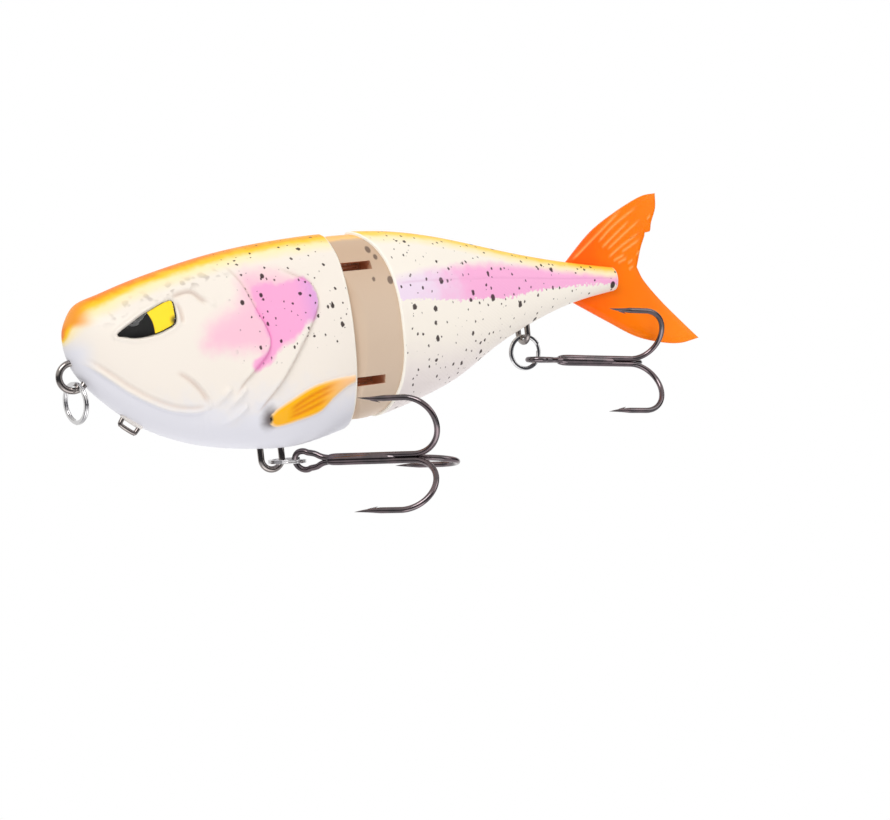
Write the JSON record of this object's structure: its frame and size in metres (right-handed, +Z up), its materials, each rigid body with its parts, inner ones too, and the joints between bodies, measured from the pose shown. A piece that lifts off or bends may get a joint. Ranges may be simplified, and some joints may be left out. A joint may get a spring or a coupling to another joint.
{
  "type": "jointed swimbait fishing lure",
  "caption": "Two-section hard-bodied gliding swimbait with a vertical body hinge, soft forked tail, split rings and treble hooks.",
  "frame": {"origin": "centre of the hole of the line-tie eye at the nose", "axes": "+X from the nose to the tail, +Z up towards the back, -Y the fish's left side"},
  "size_m": [0.1801, 0.052, 0.071],
  "materials": {
    "pearl_paint": "pearl lacquer over moulded plastic",
    "barrel_plastic": "painted shell with a bare tan barrel, satin",
    "eye_print": "printed foil",
    "clear_dome": "clear gloss resin",
    "nickel_wire": "dark nickel wire",
    "pin_steel": "bare wire",
    "ring_steel": "polished stainless",
    "black_nickel": "black nickel",
    "slug_metal": "plain slug",
    "soft_tail": "soft clear orange"
  },
  "bodies": {
    "front": {"front_shell_left": "pearl_paint", "front_shell_right": "pearl_paint", "left_eye_disc": "eye_print", "right_eye_disc": "eye_print", "left_eye_dome": "clear_dome", "right_eye_dome": "clear_dome", "nose_eye": "nickel_wire", "chin_eye": "nickel_wire", "belly_hanger": "nickel_wire", "upper_hinge_eye": "pin_steel", "lower_hinge_eye": "pin_steel", "front_ballast": "slug_metal"},
    "rear": {"rear_shell_left": "barrel_plastic", "rear_shell_right": "barrel_plastic", "hinge_pin": "pin_steel", "tail_hanger": "nickel_wire", "rear_ballast": "slug_metal", "tail_root": "soft_tail"},
    "tail": {"tail_fin": "soft_tail"},
    "line_ring": {"line_ring": "ring_steel"},
    "belly_ring": {"belly_ring": "ring_steel"},
    "belly_treble": {"belly_treble": "black_nickel"},
    "tail_ring": {"tail_ring": "ring_steel"},
    "tail_treble": {"tail_treble": "black_nickel"}
  },
  "joints": [
    {"name": "body_hinge", "type": "hinge", "parent": "front", "child": "rear", "pos_m": [0.0732, 0, 0.0047], "axis": [0, 0, 1], "range_deg": [-35, 35]},
    {"name": "tail_flex", "type": "hinge", "parent": "rear", "child": "tail", "pos_m": [0.1533, 0, 0.0093], "axis": [0, 0, 1], "range_deg": [-8, 8], "stiffness_Nm_per_rad": 0.02},
    {"name": "line_ring_swing", "type": "hinge", "parent": "front", "child": "line_ring", "pos_m": [0, 0, -0.0032], "axis": [1, 0, 0], "range_deg": [-45, 45]},
    {"name": "belly_ring_swing", "type": "hinge", "parent": "front", "child": "belly_ring", "pos_m": [0.0464, 0, -0.026], "axis": [0, 1, 0], "range_deg": [0, 80]},
    {"name": "belly_treble_swing", "type": "hinge", "parent": "belly_ring", "child": "belly_treble", "pos_m": [0.05328, -0.00322, -0.02648], "axis": [0.7642, 0.6428, -0.0534], "range_deg": [0, 55]},
    {"name": "tail_ring_swing", "type": "hinge", "parent": "rear", "child": "tail_ring", "pos_m": [0.1207, 0, -0.00455], "axis": [0, 1, 0], "range_deg": [0, 40]},
    {"name": "tail_treble_swing", "type": "hinge", "parent": "tail_ring", "child": "tail_treble", "pos_m": [0.1242, 0, -0.00952], "axis": [0, 1, 0], "range_deg": [0, 70]}
  ]
}
